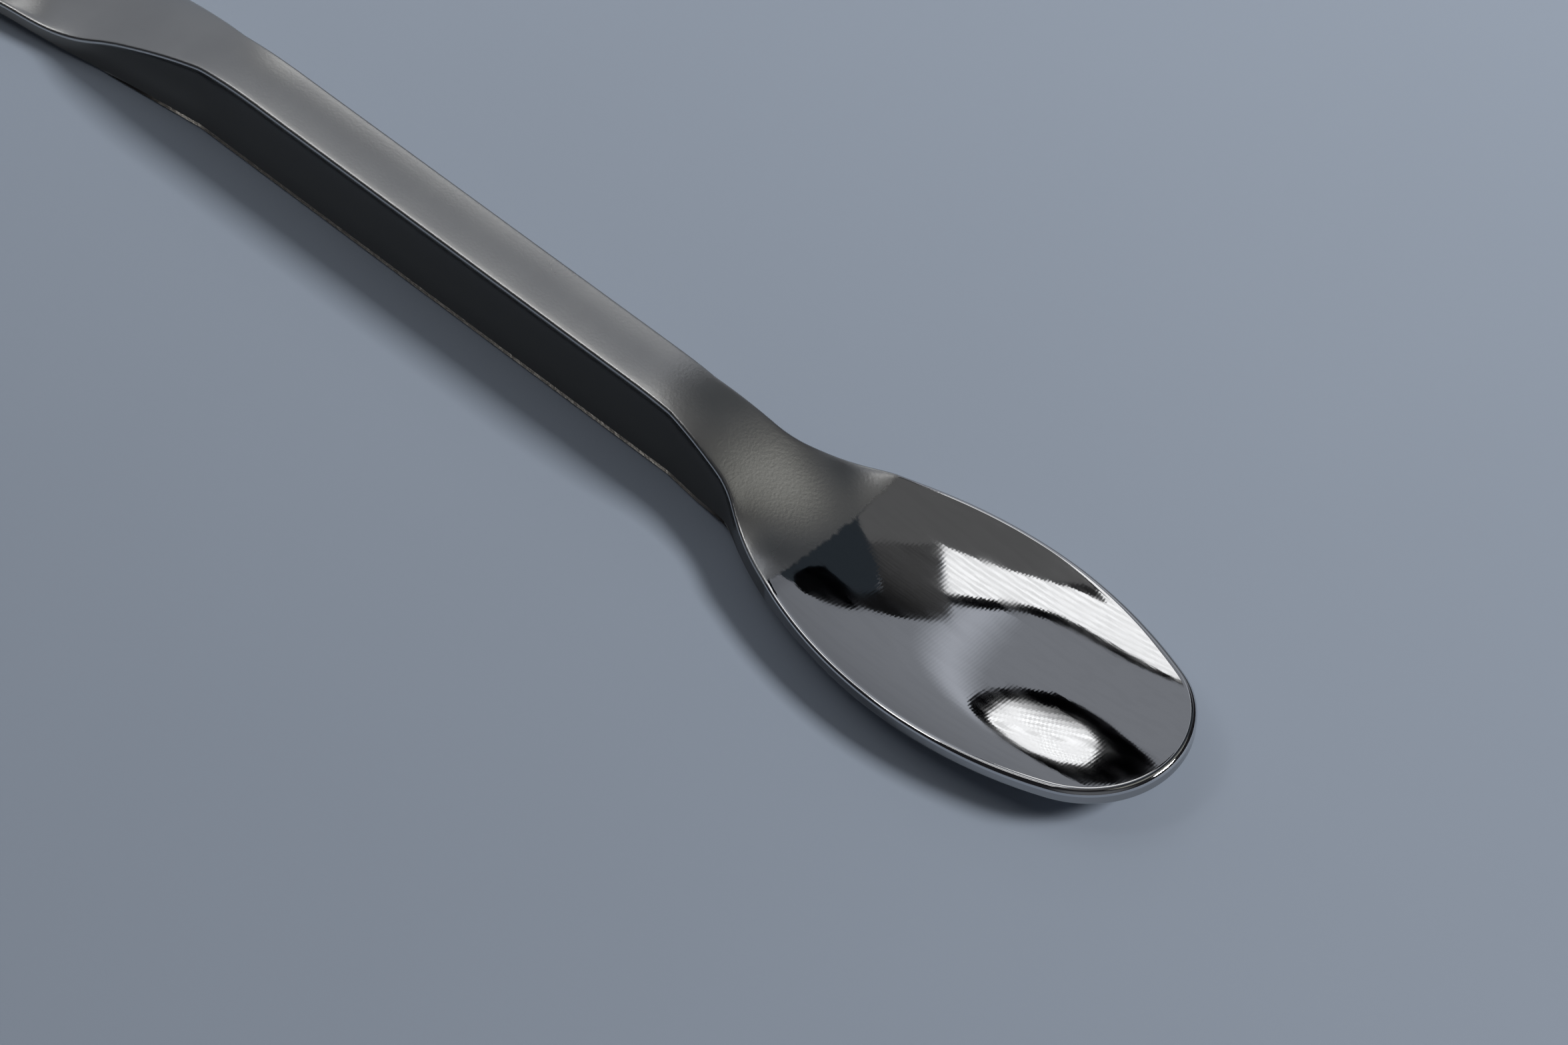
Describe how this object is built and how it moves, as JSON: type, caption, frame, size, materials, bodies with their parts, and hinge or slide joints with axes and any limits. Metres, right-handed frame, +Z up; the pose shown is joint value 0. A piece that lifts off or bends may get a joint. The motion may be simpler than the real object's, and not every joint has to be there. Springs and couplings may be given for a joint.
{
  "type": "lingual retractor",
  "caption": "Flat double-ended surgical retractor: a raised channel grip with a dished oval blade at each end, one broad and one slim.",
  "frame": {"origin": "middle of the length and the width, on the plane that the feet rest on", "axes": "+X along the grip towards the broad blade, +Z up, away from the feet"},
  "size_m": [0.2088, 0.028, 0.0103],
  "materials": {
    "steel": "satin on the grip and necks, mirror polish on the blades"
  },
  "bodies": {
    "root": {"retractor": "steel"}
  },
  "joints": []
}
